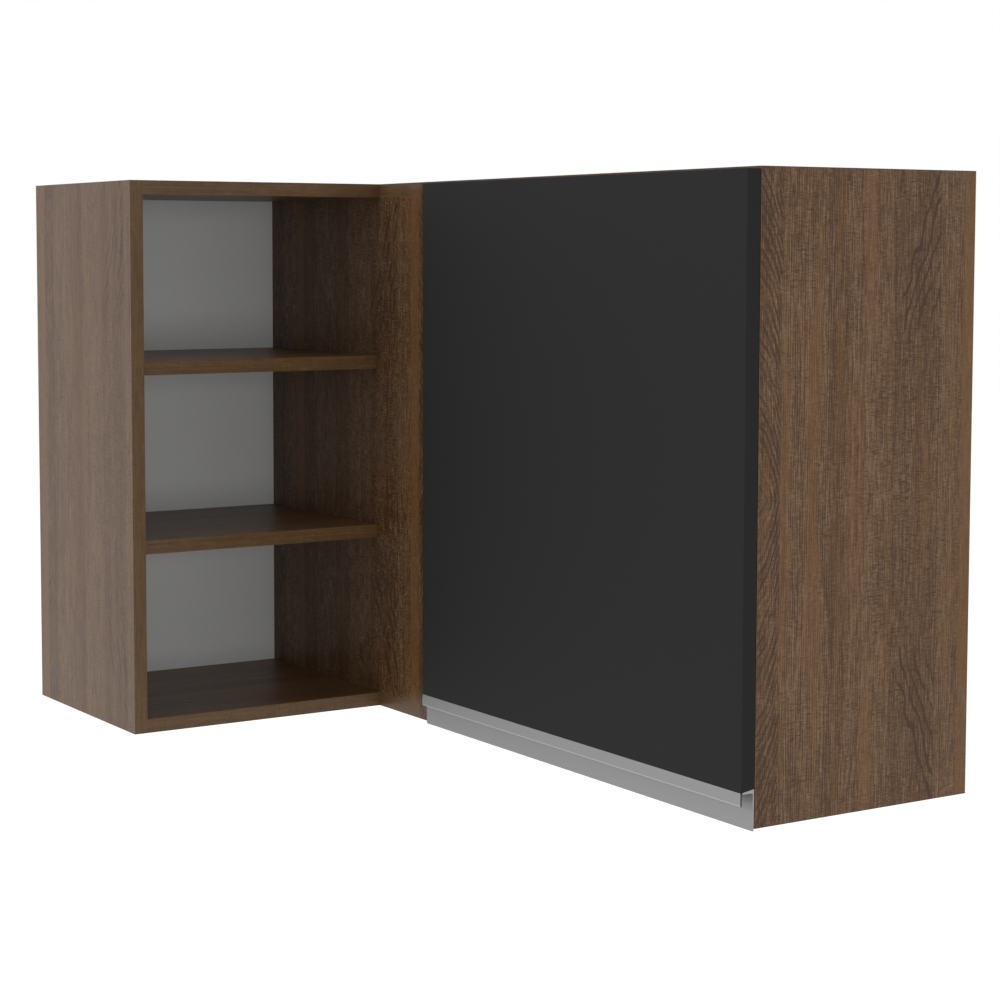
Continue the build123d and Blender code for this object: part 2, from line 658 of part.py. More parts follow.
with BuildPart() as door_panel:
    with BuildSketch(Plane.XZ.offset(-RIGHT)) as door_section:
        with BuildLine():
            Polyline(
                (DOOR_FRONT, DOOR_BOTTOM),
                (DOOR_BACK, DOOR_BOTTOM + DOOR_BEVEL),
                (DOOR_BACK, DOOR_TOP),
                (DOOR_FRONT, DOOR_TOP),
                close=True,
            )
        make_face()
    extrude(amount=-(DOOR_EDGE - RIGHT))
    fillet(door_panel.faces().sort_by(Axis.X)[0].edges().filter_by(Axis.Z), DOOR_EDGE_ROUND)
    for level in HINGE_HEIGHTS:
        rod(on_plan(CUP_CENTRE, DOOR_GAP, level), X_DOWN, CUP_RADIUS, CUP_DEPTH, Mode.SUBTRACT)
    rods(cup_screw_seats, SCREW_RADIUS + PRESS_GAP, SCREW_LENGTH, Mode.SUBTRACT)
    rods(profile_screw_seats, PROFILE_SCREW_RADIUS + PRESS_GAP, PROFILE_SCREW_LENGTH, Mode.SUBTRACT)
finish(door_panel, "door_panel")

with BuildPart() as door_bumpers:
    for level in (DOOR_BOTTOM + BUMPER_MARGIN, DOOR_TOP - BUMPER_MARGIN):
        rod((DOOR_BACK, DOOR_EDGE - BUMPER_INSET, level), X_UP, BUMPER_RADIUS, BUMPER_THICKNESS)
finish(door_bumpers, "door_bumpers")

# ---------------------------------------------------------------- concealed hinges, door side
with BuildPart() as hinge_cups:
    for level in HINGE_HEIGHTS:
        rod(on_plan(CUP_CENTRE, DOOR_GAP, level), X_DOWN, CUP_RADIUS - PRESS_GAP, CUP_DEPTH)
        plan_block(
            (FLANGE_START, FLANGE_END),
            (DOOR_GAP - FLANGE_THICKNESS, DOOR_GAP),
            (level - FLANGE_HALF, level + FLANGE_HALF),
        )
        rod(
            on_plan(CUP_CENTRE, DOOR_GAP - FLANGE_THICKNESS, level),
            X_DOWN,
            CUP_RADIUS - CUP_WALL,
            CUP_DEPTH + FLANGE_THICKNESS - CUP_FLOOR,
            Mode.SUBTRACT,
        )
        pin_hole = on_plan(*CUP_PIN, level - CUP_PIN_HALF)
        rod(pin_hole, Z_UP, HINGE_PIN_RADIUS, 2 * CUP_PIN_HALF, Mode.SUBTRACT)
    rods(cup_screw_seats, SCREW_RADIUS + PRESS_GAP, FLANGE_THICKNESS, Mode.SUBTRACT)
finish(hinge_cups, "hinge_cups")

with BuildPart() as cup_screws:
    screws(cup_screw_seats)
finish(cup_screws, "cup_screws")

with BuildPart() as cup_pins:
    for level in HINGE_HEIGHTS:
        rod(on_plan(*CUP_PIN, level - CUP_PIN_HALF), Z_UP, HINGE_PIN_RADIUS, 2 * CUP_PIN_HALF)
finish(cup_pins, "cup_pins")

# ---------------------------------------------------------------- concealed hinges, links
with BuildPart() as hinge_links:
    for level in HINGE_HEIGHTS:
        thickness = (level - LINK_HALF, level + LINK_HALF)
        for start, end in zip(LINK_PATH, LINK_PATH[1:]):
            capsule(start, end, LINK_WIDTH, thickness)
        for eye in (CUP_PIN, ARM_PIN):
            rod(on_plan(*eye, thickness[0]), Z_UP, LINK_EYE_RADIUS, 2 * LINK_HALF)
        for eye in (CUP_PIN, ARM_PIN):
            bore = HINGE_PIN_RADIUS + RUNNING_GAP
            rod(on_plan(*eye, thickness[0]), Z_UP, bore, 2 * LINK_HALF, Mode.SUBTRACT)
finish(hinge_links, "hinge_links")

# ---------------------------------------------------------------- concealed hinges, carcass side
with BuildPart() as hinge_arms:
    for level in HINGE_HEIGHTS:
        for low in (level - ARM_HALF, level + ARM_HALF - ARM_CHEEK):
            plan_block((ARM_CHEEK_FOOT, ARM_TOP), (ARM_TAIL, ARM_NOSE), (low, low + ARM_CHEEK))
        plan_block(
            (ARM_TOP - ARM_CHEEK, ARM_TOP),
            (ARM_TAIL, ARM_WEB_END),
            (level - ARM_HALF, level + ARM_HALF),
        )
        pin_hole = on_plan(*ARM_PIN, level - ARM_HALF)
        rod(pin_hole, Z_UP, HINGE_PIN_RADIUS, 2 * ARM_HALF, Mode.SUBTRACT)
    rods(arm_screw_seats, SCREW_RADIUS + PRESS_GAP, ARM_CHEEK, Mode.SUBTRACT)
finish(hinge_arms, "hinge_arms")

with BuildPart() as arm_pins:
    for level in HINGE_HEIGHTS:
        rod(on_plan(*ARM_PIN, level - ARM_HALF), Z_UP, HINGE_PIN_RADIUS, 2 * ARM_HALF)
finish(arm_pins, "arm_pins")

with BuildPart() as mounting_plates:
    for level in HINGE_HEIGHTS:
        plan_block(
            (BOARD, BOARD + WING_THICKNESS),
            (PLATE_SCREW_SETBACK - WING_WIDTH, PLATE_SCREW_SETBACK + WING_WIDTH),
            (level - WING_HALF, level + WING_HALF),
        )
        plan_block(
            (BOARD, ARM_TOP - ARM_CHEEK),
            (BASE_TAIL, BASE_NOSE),
            (level - LINK_HALF, level + LINK_HALF),
        )
    rods(plate_screw_seats, SCREW_RADIUS + PRESS_GAP, WING_THICKNESS, Mode.SUBTRACT)
    rods(arm_screw_seats, SCREW_RADIUS + PRESS_GAP, SCREW_LENGTH, Mode.SUBTRACT)
finish(mounting_plates, "mounting_plates")

with BuildPart() as plate_screws:
    screws(plate_screw_seats)
finish(plate_screws, "plate_screws")

with BuildPart() as arm_screws:
    screws(arm_screw_seats)
finish(arm_screws, "arm_screws")
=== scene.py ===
import functools
import math

import bmesh
import bpy
from mathutils import Matrix, Vector


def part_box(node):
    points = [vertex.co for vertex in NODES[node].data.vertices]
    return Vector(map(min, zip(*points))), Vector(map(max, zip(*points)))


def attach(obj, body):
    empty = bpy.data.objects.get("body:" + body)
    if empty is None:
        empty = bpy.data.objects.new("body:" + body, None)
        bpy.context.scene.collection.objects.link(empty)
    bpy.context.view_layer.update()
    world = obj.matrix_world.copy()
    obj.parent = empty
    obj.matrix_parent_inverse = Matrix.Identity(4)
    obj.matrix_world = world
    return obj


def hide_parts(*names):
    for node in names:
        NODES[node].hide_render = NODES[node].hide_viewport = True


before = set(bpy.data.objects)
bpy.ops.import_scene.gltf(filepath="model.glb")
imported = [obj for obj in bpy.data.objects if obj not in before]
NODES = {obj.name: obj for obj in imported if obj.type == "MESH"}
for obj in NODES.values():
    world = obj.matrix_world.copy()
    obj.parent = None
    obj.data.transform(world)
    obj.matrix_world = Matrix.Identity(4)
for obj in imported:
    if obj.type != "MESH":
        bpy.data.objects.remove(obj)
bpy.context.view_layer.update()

MM = 0.001

# ---------------- places taken from the frame, in metres
LEFT_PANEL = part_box("left_end_panel")
HEIGHT = LEFT_PANEL[1][2]
MIDDLE = HEIGHT / 2
NICHE_FRONT = LEFT_PANEL[0][1]
CUPBOARD_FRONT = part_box("right_end_panel")[0][0]
BACK_THICKNESS = -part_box("niche_back_panel")[0][1]
DOOR_FACE, DOOR_END, DOOR_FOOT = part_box("door_panel")[0]


# ---------------- helpers for materials
def linear(hex_colour):
    """An sRGB hex colour as linear red, green, blue and alpha."""
    parts = [int(hex_colour[i:i + 2], 16) / 255 for i in (1, 3, 5)]
    return [c / 12.92 if c <= 0.04045 else ((c + 0.055) / 1.055) ** 2.4 for c in parts] + [1.0]


def add(tree, kind, inputs=None, **settings):
    """A node with its settings; each input is a value or the socket that feeds it."""
    node = tree.nodes.new(kind)
    for name, value in settings.items():
        setattr(node, name, value)
    for socket, value in (inputs or {}).items():
        if isinstance(value, bpy.types.NodeSocket):
            tree.links.new(value, node.inputs[socket])
        else:
            node.inputs[socket].default_value = value
    return node


def new_material(name):
    """An empty node material and its output node."""
    material = bpy.data.materials.new(name)
    material.use_nodes = True
    material.node_tree.nodes.clear()
    return material, material.node_tree, add(material.node_tree, "ShaderNodeOutputMaterial")


def dress(material, *names):
    """Give CAD nodes a material."""
    for name in names:
        NODES[name].data.materials.clear()
        NODES[name].data.materials.append(material)


AXES = {"X": 0, "Y": 1, "Z": 2}


def mixed(tree, factor, first, second):
    """One colour turned into another by a factor."""
    inputs = {"Factor": factor, "A": first, "B": second}
    return add(tree, "ShaderNodeMix", inputs, data_type="RGBA").outputs["Result"]


def figured(tree, operation, first, second=0.0):
    """The result of a sum; a comparison gives 1 where it holds and 0 elsewhere."""
    return add(tree, "ShaderNodeMath", {0: first, 1: second}, operation=operation).outputs[0]


def grains(tree, spot, size):
    """Noise from 0 to 1 whose grain has these sizes in millimetres along X, Y and Z."""
    scale = tuple(1 / (length * MM) for length in size)
    scaled = add(tree, "ShaderNodeMapping", {"Vector": spot, "Scale": scale}).outputs[0]
    inputs = {"Vector": scaled, "Scale": 1.0, "Detail": 3.0}
    return add(tree, "ShaderNodeTexNoise", inputs).outputs["Fac"]


# ---------------- the oak decor, printed paper under melamine
# The sheet is described in millimetres: X runs across the grain from the start of the sheet, Y goes
# into the board, Z runs along the grain from the middle of its length, where the print is mirrored.
DECOR_STREAK = "#3E2511"
DECOR_DARK = "#523619"
DECOR_MID = "#674C34"
DECOR_LIGHT = "#85694E"
DECOR_WARM = "#735029"
# Sizes and places on the sheet, in millimetres.
SHEET_WIDTH = 320.0
FLAME_ZONE = (0, 31)
RING_ZONE = (31, 122)
PORE_ZONE = (122, 150)
SAWN_ZONE = (165, 262)
CRACK_ZONE = (190, 262)
SEAM_ZONE = (262, 264)
GOLD_ZONE = (299, 318)
CRACK_REACH = 197.0
CRACK_LEAN = 0.37
CRACK_SPACING = 14.0
FLAME_SPACING = 16.0
FLAME_SLOPE = 1.1
FLAME_CURVE = 0.035
RING_SPACING = 3.3
# The print's tone runs from 0, the darkest streak, to 1, the lightest. These are the tone of its
# ground, how far each soft change spreads about it, and how much each mark darkens it.
GROUND_TONE = 0.58
DARK_TONE = 0.3
BAND_SPREAD = 0.28
CLOUD_SPREAD = 0.4
FIBRE_SPREAD = 1.22
STRAND_SPREAD = 0.38
WEAVE_SPREAD = 0.8
RING_MARK = -0.42
LINE_MARK = -0.2
PORE_MARK = -0.25
TICK_MARK = -0.29
FLAME_MARK = -0.7
CRACK_MARK = -0.92
SEAM_MARK = -0.22
# Each stave that is plainly lighter or darker than its neighbours: its limits and its tone.
STAVES = (
    ((2, 28), -0.03),
    ((36, 92), 0.07),
    ((100, 124), -0.12),
    ((128, 184), 0.04),
    ((192, 258), -0.09),
)


def decor_group():
    """The printed oak: staves, growth rings, a flame margin, leaning cracks, saw marks, fibres."""
    tree = bpy.data.node_groups.new("oak_decor", "ShaderNodeTree")
    tree.interface.new_socket("Vector", in_out="INPUT", socket_type="NodeSocketVector")
    tree.interface.new_socket("Fibre", in_out="INPUT", socket_type="NodeSocketFloat")
    tree.interface.new_socket("Color", in_out="OUTPUT", socket_type="NodeSocketColor")
    tree.interface.new_socket("Height", in_out="OUTPUT", socket_type="NodeSocketFloat")
    source = add(tree, "NodeGroupInput")
    target = add(tree, "NodeGroupOutput")

    def calc(operation, first, second=0.0):
        return figured(tree, operation, first, second)

    def total(*values):
        return functools.reduce(lambda first, second: calc("ADD", first, second), values)

    def product(*values):
        return functools.reduce(lambda first, second: calc("MULTIPLY", first, second), values)

    def spread(value, strength):
        """A value from 0 to 1 as a change of tone about nothing."""
        return product(calc("SUBTRACT", value, 0.5), strength)

    def wave(length, spacing):
        return calc("SINE", product(length, 2 * math.pi / spacing))

    def vector(x, y, z):
        return add(tree, "ShaderNodeCombineXYZ", {0: x, 1: y, 2: z}).outputs[0]

    def noise(place, across, into, along, detail=2.0):
        """Noise from 0 to 1 whose grain has these sizes in millimetres."""
        size = (1 / across, 1 / into, 1 / along)
        scaled = add(tree, "ShaderNodeMapping", {"Vector": place, "Scale": size}).outputs[0]
        inputs = {"Vector": scaled, "Scale": 1.0, "Detail": detail, "Roughness": 0.55}
        return add(tree, "ShaderNodeTexNoise", inputs).outputs["Fac"]

    def ramp(value, low, high):
        """0 below one limit, 1 beyond the other, and a smooth rise between them."""
        inputs = {0: value, 1: low, 2: high}
        return add(tree, "ShaderNodeMapRange", inputs, interpolation_type="SMOOTHSTEP").outputs[0]

    def zone(value, limits, soft):
        """1 between two limits and 0 outside them, with soft sides."""
        rise = ramp(value, limits[0] - soft, limits[0] + soft)
        fall = ramp(value, limits[1] + soft, limits[1] - soft)
        return product(rise, fall)

    spot = source.outputs["Vector"]
    across, into, along = add(tree, "ShaderNodeSeparateXYZ", {0: spot}).outputs
    reach = calc("ABSOLUTE", along)
    sheet = calc("WRAP", across, SHEET_WIDTH)
    mirrored = vector(across, into, reach)
    waver = spread(noise(mirrored, 60, 90, 210), 22.0)
    flow = vector(total(across, waver), into, reach)

    # staves: soft lighter and darker bands a few centimetres wide, clouded along the grain
    bands = noise(vector(across, 0.0, 0.0), 12, 20, 900, 1)
    cloud = noise(mirrored, 30, 60, 190, 3)
    shade = total(
        GROUND_TONE,
        spread(bands, BAND_SPREAD),
        spread(cloud, CLOUD_SPREAD),
        *(product(zone(sheet, limits, 3), tone) for limits, tone in STAVES),
    )

    # growth rings: fine parallel lines, clearest in one broad stave
    ring_wave = wave(total(across, product(waver, 0.35)), RING_SPACING)
    rings = product(
        ramp(ring_wave, 0.0, 1.0),
        total(0.3, zone(sheet, RING_ZONE, 4)),
        ramp(noise(mirrored, 6, 40, 60), 0.35, 0.65),
    )
    lines = ramp(noise(flow, 1.7, 6, 130, 2), 0.48, 0.68)

    # flame margin: dark strokes that start level and bend upright, mirrored about the middle
    bend = total(product(sheet, FLAME_SLOPE), product(sheet, sheet, FLAME_CURVE))
    ragged = spread(noise(mirrored, 30, 30, 45, 1), 26.0)
    flame_phase = total(reach, bend, ragged)
    flame_wave = wave(flame_phase, FLAME_SPACING)
    fine_flames = wave(flame_phase, FLAME_SPACING / 1.8)
    flames = product(
        total(ramp(flame_wave, -0.2, 1.0), product(ramp(fine_flames, 0.2, 1.0), 0.45)),
        zone(sheet, FLAME_ZONE, 1.5),
        ramp(noise(mirrored, 14, 30, 24, 1), 0.25, 0.6),
        total(0.5, product(sheet, 0.018)),
    )

    # leaning cracks: long dark strokes that lean outwards, clear away from the middle of the sheet
    zigzag = spread(noise(mirrored, 30, 30, 58, 2), 30.0)
    lean = total(
        sheet,
        product(calc("SUBTRACT", reach, CRACK_REACH), -CRACK_LEAN),
        product(waver, 0.6),
    )
    crack_wave = wave(total(lean, zigzag), CRACK_SPACING)
    cracks = product(
        ramp(crack_wave, 0.5, 1.0),
        ramp(noise(mirrored, 14, 30, 80, 1), 0.36, 0.6),
        zone(lean, CRACK_ZONE, 5),
        zone(sheet, CRACK_ZONE, 3),
        ramp(reach, CRACK_REACH - 50, CRACK_REACH + 20),
    )
    pores = product(ramp(noise(flow, 1.9, 3, 30, 2), 0.5, 0.7), zone(sheet, PORE_ZONE, 3))
    seam = zone(sheet, SEAM_ZONE, 1)

    # saw marks: short ticks across the grain, gathered in patches and dense beside the cracks
    patches = total(
        0.28,
        ramp(noise(mirrored, 30, 60, 30), 0.46, 0.66),
        product(zone(sheet, SAWN_ZONE, 12), ramp(reach, 230, 150), 0.6),
    )
    ticks = product(ramp(noise(spot, 10, 30, 1.5, 1), 0.5, 0.72), patches)

    # fibres and the faint weave of pores, really 0.1 to 0.3 mm wide and drawn coarse enough to show
    fibres = noise(spot, 1.2, 3, 20, 1)
    strands = noise(spot, 2.6, 6, 60, 2)
    weave = noise(spot, 5, 9, 1.5, 1)
    fine = total(
        product(rings, RING_MARK),
        product(lines, LINE_MARK),
        product(pores, PORE_MARK),
        product(ticks, TICK_MARK),
        spread(fibres, FIBRE_SPREAD),
        spread(strands, STRAND_SPREAD),
        spread(weave, WEAVE_SPREAD),
    )
    shade = total(
        shade,
        product(flames, FLAME_MARK),
        product(cracks, CRACK_MARK),
        product(seam, SEAM_MARK),
        product(fine, source.outputs["Fibre"]),
    )
    print_ramp = add(tree, "ShaderNodeValToRGB", {0: shade})
    stops = print_ramp.color_ramp.elements
    stops[0].position = 0.0
    stops[0].color = linear(DECOR_STREAK)
    stops[1].position = 1.0
    stops[1].color = linear(DECOR_LIGHT)
    for position, colour in ((DARK_TONE, DECOR_DARK), (GROUND_TONE, DECOR_MID)):
        stops.new(position).color = linear(colour)
    warmth = total(
        product(ramp(noise(mirrored, 20, 50, 300), 0.45, 0.7), 0.38),
        product(zone(sheet, GOLD_ZONE, 3), 0.5),
    )
    colour = mixed(tree, warmth, print_ramp.outputs[0], linear(DECOR_WARM))
    tree.links.new(colour, target.inputs["Color"])
    tree.links.new(shade, target.inputs["Height"])
    return tree


DECOR = decor_group()

# ---------------- the edges of the boards
EDGE_DARK = "#2C1C0D"
EDGE_LIGHT = "#7C5E39"
CHIP_DARK = "#7F6242"
CHIP_LIGHT = "#B79A72"
RIM_LINE = "#2E2116"
# Depths that a face's own colour reaches, in metres.
BAND_DEPTH = 0.45 * MM
RIM_WIDTH = 0.8 * MM
# Sizes of the edge band's streaks and of the chips in the bare edges, in millimetres.
STRIPE_WIDTH = 1.7
LONG_STRIPES = 400
SHORT_STRIPES = 30
CHIP_SIZE = (1.8, 1.8, 3.5)
# How much of the print each of them hides.
BAND_COVER = 0.7
RIM_COVER = 0.6


def melamine_board(
    name, across, along, start, middle,
    front=None, offset=0.0, fibre=1.0, rear=None, stripe_length=LONG_STRIPES,
):
    """Melamine-faced chipboard with an oak print, pressed against a finely textured plate.

    It gives the eye a satin sheen over a matt brown print, soft pores that catch the light, a
    striped edge band on its front, and a thin dark line where an upright face meets the top or
    bottom.

    across and along are the axes of the sheet, start and middle the place in metres where the
    sheet's first side and the middle of its length lie. across starts with - where the sheet runs
    backwards. front is the axis and the place in metres of the banded edge, and rear those of the
    bare chipboard edge. offset, in metres, picks another part of the print, fibre is the strength
    of the fine grain, and stripe_length is how many millimetres the edge band's streaks run.
    """
    material, tree, output = new_material(name)
    coordinates = add(tree, "ShaderNodeTexCoord").outputs
    spot = coordinates["Object"]
    parts = add(tree, "ShaderNodeSeparateXYZ", {0: spot}).outputs
    direction = -1 if across.startswith("-") else 1
    across_axis = across[-1]
    into_axis = ({"X", "Y", "Z"} - {across_axis, along}).pop()

    def millimetres(axis, origin, sign=1):
        shifted = figured(tree, "SUBTRACT", parts[AXES[axis]], origin)
        return figured(tree, "MULTIPLY", shifted, sign / MM)

    place = add(
        tree,
        "ShaderNodeCombineXYZ",
        {
            0: millimetres(across_axis, start, direction),
            1: millimetres(into_axis, offset),
            2: millimetres(along, middle),
        },
    )
    decor = add(tree, "ShaderNodeGroup", node_tree=DECOR)
    tree.links.new(place.outputs[0], decor.inputs["Vector"])
    decor.inputs["Fibre"].default_value = fibre
    colour = decor.outputs["Color"]
    if front:
        axis, edge = front
        banded = figured(tree, "LESS_THAN", parts[AXES[axis]], edge + BAND_DEPTH)
        stripe_size = tuple(stripe_length if letter == along else STRIPE_WIDTH for letter in AXES)
        stripes = grains(tree, spot, stripe_size)
        band = mixed(tree, stripes, linear(EDGE_DARK), linear(EDGE_LIGHT))
        colour = mixed(tree, banded, colour, mixed(tree, BAND_COVER, colour, band))
    tilt = add(tree, "ShaderNodeSeparateXYZ", {0: coordinates["Normal"]}).outputs["Z"]
    upright = figured(tree, "LESS_THAN", figured(tree, "ABSOLUTE", tilt), 0.5)
    for operation, level in (("GREATER_THAN", HEIGHT - RIM_WIDTH), ("LESS_THAN", RIM_WIDTH)):
        rim = figured(tree, "MULTIPLY", figured(tree, operation, parts[2], level), upright)
        colour = mixed(tree, rim, colour, mixed(tree, RIM_COVER, colour, linear(RIM_LINE)))
    if rear:
        axis, edge = rear
        bare = figured(tree, "GREATER_THAN", parts[AXES[axis]], edge - BAND_DEPTH)
        chips = mixed(tree, grains(tree, spot, CHIP_SIZE), linear(CHIP_DARK), linear(CHIP_LIGHT))
        colour = mixed(tree, bare, colour, chips)
    bump = add(
        tree,
        "ShaderNodeBump",
        {"Height": decor.outputs["Height"], "Strength": 0.25, "Distance": 0.15 * MM},
    )
    shader = add(
        tree,
        "ShaderNodeBsdfPrincipled",
        {
            "Base Color": colour,
            "Roughness": 0.38,
            "Specular IOR Level": 0.31,
            "Normal": bump.outputs[0],
        },
    )
    tree.links.new(shader.outputs[0], output.inputs["Surface"])
    return material


# ---------------- other finishes
def simple_finish(
    name, colour, roughness, metallic=0.0, grain=(1, 1, 1), colour_spread=0.06, edges=(), **sockets
):
    """A finish with slight mottling and surface grain; grain is its size in mm along X, Y and Z.

    The grain of paint, castings and plating is too fine to show, so it is drawn at about 1 mm. Each
    of the edges is painted light or shade: a colour of its own for a painted highlight or painted
    shade, laid where the tests all hold: an axis, a comparison and a limit in metres.
    """
    material, tree, output = new_material(name)
    spot = add(tree, "ShaderNodeTexCoord").outputs["Object"]
    mottle = grains(tree, spot, grain)
    base = linear(colour)
    dark = [c * (1 - colour_spread) for c in base[:3]] + [1]
    light = [min(1, c * (1 + colour_spread)) for c in base[:3]] + [1]
    bump = add(tree, "ShaderNodeBump", {"Height": mottle, "Strength": 0.4, "Distance": 0.02 * MM})
    tint = mixed(tree, mottle, dark, light)
    # Each of these colours is painted light: a painted highlight or painted shade laid on the
    # surface.
    for painted_light_colour, *tests in edges:
        places = add(tree, "ShaderNodeSeparateXYZ", {0: spot}).outputs
        there = 1.0
        for axis, operation, limit in tests:
            holds = figured(tree, operation, places[AXES[axis]], limit)
            there = figured(tree, "MULTIPLY", there, holds)
        tint = mixed(tree, there, tint, linear(painted_light_colour))
    shader = add(
        tree,
        "ShaderNodeBsdfPrincipled",
        {
            "Base Color": tint,
            "Roughness": roughness,
            "Metallic": metallic,
            "Normal": bump.outputs[0],
            **sockets,
        },
    )
    tree.links.new(shader.outputs[0], output.inputs["Surface"])
    return material


# Sprayed black lacquer on MDF: flat and almost without a highlight; its edges and back are painted
# darker, a painted shade.
door_lacquer = simple_finish(
    "matt_black_lacquered_mdf",
    "#212121",
    0.75,
    grain=(0.9, 0.9, 0.9),
    colour_spread=0.05,
    # Painted shade: a darker colour everywhere behind the front face, on the door's edges and back.
    edges=(("#121212", ("X", "GREATER_THAN", DOOR_FACE + BAND_DEPTH)),),
    **{"Specular IOR Level": 0.25},
)
LIP_BACK = DOOR_FACE + 2 * MM
# The lighter band on the lip between these two heights is a painted highlight.
LIP_HIGHLIGHT_TOP = DOOR_FOOT - 13.5 * MM
LIP_HIGHLIGHT_BOTTOM = 20 * MM
# Extruded and satin anodised aluminium: a broad soft sheen, faint lines along the extrusion, a
# painted highlight that makes the lower part of the lip lighter, and painted shade that makes the
# lip's sawn end dark.
aluminium = simple_finish(
    "satin_anodised_aluminium",
    "#989899",
    0.58,
    1.0,
    grain=(0.25, 60, 0.25),
    colour_spread=0.04,
    edges=(
        # Painted highlight: a lighter colour on the lower part of the lip.
        (
            "#ADADAE",
            ("X", "LESS_THAN", LIP_BACK),
            ("Z", "LESS_THAN", LIP_HIGHLIGHT_TOP),
            ("Z", "GREATER_THAN", LIP_HIGHLIGHT_BOTTOM),
        ),
        # Painted shade: a dark colour on the lip's sawn end, standing in for its shadow.
        ("#3A3A3A", ("X", "LESS_THAN", LIP_BACK), ("Y", "LESS_THAN", DOOR_END + BAND_DEPTH)),
    ),
)


LACQUER_DARK = "#CED0CF"
LACQUER_LIGHT = "#D6D8D7"
BARE_DARK = "#4A3423"
BARE_LIGHT = "#8A6848"
PEEL_SIZE = (3.5, 3.5, 3.5)
FIBRE_SIZE = (2.5, 2.5, 2.5)
SCREEN_SPACING = 1.8 * MM


def hardboard(name, axis):
    """Hardboard, pressed on a wire screen and roller-coated on one side.

    It gives the eye an even pale grey with a faint orange peel in front, and bare brown board with
    the print of the screen behind. The board lies against the wall, the plane where this axis is 0.
    """
    material, tree, output = new_material(name)
    spot = add(tree, "ShaderNodeTexCoord").outputs["Object"]
    place = add(tree, "ShaderNodeSeparateXYZ", {0: spot}).outputs[AXES[axis]]
    bare = figured(tree, "GREATER_THAN", place, -BACK_THICKNESS + BAND_DEPTH)
    peel = grains(tree, spot, PEEL_SIZE)
    lacquer = mixed(tree, peel, linear(LACQUER_DARK), linear(LACQUER_LIGHT))
    screen = add(
        tree,
        "ShaderNodeTexVoronoi",
        {"Vector": spot, "Scale": 1 / SCREEN_SPACING, "Randomness": 0.12},
        distance="CHEBYCHEV",
    ).outputs["Distance"]
    brown = mixed(tree, grains(tree, spot, FIBRE_SIZE), linear(BARE_DARK), linear(BARE_LIGHT))
    relief = mixed(tree, bare, peel, screen)
    bump = add(tree, "ShaderNodeBump", {"Height": relief, "Strength": 0.5, "Distance": 0.06 * MM})
    roughness = add(tree, "ShaderNodeMapRange", {0: bare, 3: 0.5, 4: 0.85}).outputs[0]
    shader = add(
        tree,
        "ShaderNodeBsdfPrincipled",
        {
            "Base Color": mixed(tree, bare, lacquer, brown),
            "Roughness": roughness,
            "Normal": bump.outputs[0],
        },
    )
    tree.links.new(shader.outputs[0], output.inputs["Surface"])
    return material


# Planed pine: pale, dry and streaked along its length.
batten_pine = simple_finish("planed_pine", "#C9A878", 0.6, grain=(3, 40, 3), colour_spread=0.12)
# Turned beech: pinkish pale wood with short fine streaks.
beech = simple_finish("turned_beech_dowel", "#C7A27A", 0.6, grain=(1, 12, 1), colour_spread=0.1)
# Bright zinc plating on steel: a slightly warm, uneven grey shine.
zinc_plated = simple_finish("zinc_plated_steel", "#B9B8B0", 0.35, 1.0, grain=(0.6, 0.6, 0.6))
# Die-cast zinc, left raw: a dull, faintly cloudy grey.
zinc_cast = simple_finish("die_cast_zinc", "#A3A3A1", 0.5, 1.0, grain=(0.8, 0.8, 0.8))
# Nickel plating on pressed steel: a warm white metal with clear highlights.
nickel = simple_finish("nickel_plated_steel", "#C4C1BA", 0.22, 1.0, grain=(0.7, 0.7, 0.7))
# Moulded silicone: milky, with a soft shine.
clear_rubber = simple_finish("clear_silicone", "#C9CBCB", 0.4, grain=(1, 1, 1))

# ---------------- boards
left_oak = melamine_board(
    "oak_left_end",
    "-Y",
    "Z",
    start=-0.03,
    middle=MIDDLE,
    front=("Y", NICHE_FRONT),
    offset=0.4,
    fibre=0.7,
    rear=("Y", 0.0),
    stripe_length=SHORT_STRIPES,
)
right_oak = melamine_board(
    "oak_right_end",
    "X",
    "Z",
    start=CUPBOARD_FRONT,
    middle=MIDDLE,
    front=("X", CUPBOARD_FRONT),
    rear=("X", 0.0),
)
dress(left_oak, "left_end_panel")
dress(right_oak, "right_end_panel")
for board, node, across, start, offset, fibre in (
    ("oak_partition", "partition_panel", "-Y", -0.1, 0.2, 1.4),
    ("oak_stile", "corner_stile", "-Y", -0.1, 0.9, 1.4),
    ("oak_post", "corner_post", "Y", 0.1, 1.3, 1.0),
):
    dress(melamine_board(board, across, "Z", start, MIDDLE, offset=offset, fibre=fibre), node)
# Each level board shows its own part of the print, moved across and into the sheet by its offset.
for node, across, along, middle, offset in (
    ("niche_top_panel", "Y", "X", -0.34, 0.11),
    ("niche_bottom_panel", "Y", "X", -0.34, 0.52),
    ("niche_shelf_upper", "Y", "X", -0.5, 0.23),
    ("niche_shelf_lower", "Y", "X", -0.5, 0.47),
    ("cupboard_top_panel", "X", "Y", -0.7, 0.71),
    ("cupboard_bottom_panel", "X", "Y", -0.7, 0.33),
):
    front = (across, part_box(node)[0][AXES[across]])
    dress(melamine_board("oak_" + node, across, along, -0.3 - offset, middle, front, offset), node)
shelf_front = ("X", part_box("cupboard_shelf")[0][0])
shelf_oak = melamine_board("oak_cupboard_shelf", "X", "Y", -0.3, -0.5, shelf_front, 0.8)
dress(shelf_oak, "cupboard_shelf")

# ---------------- the other CAD nodes that stay as they are
dress(door_lacquer, "door_panel")
dress(hardboard("niche_hardboard", "Y"), "niche_back_panel")
dress(hardboard("cupboard_hardboard", "X"), "cupboard_back_panel")
dress(zinc_plated, "cam_bolts", "cup_pins", "arm_pins")

# ---------------- detailed pieces in place of plain hardware
HEAD_GRID = 24
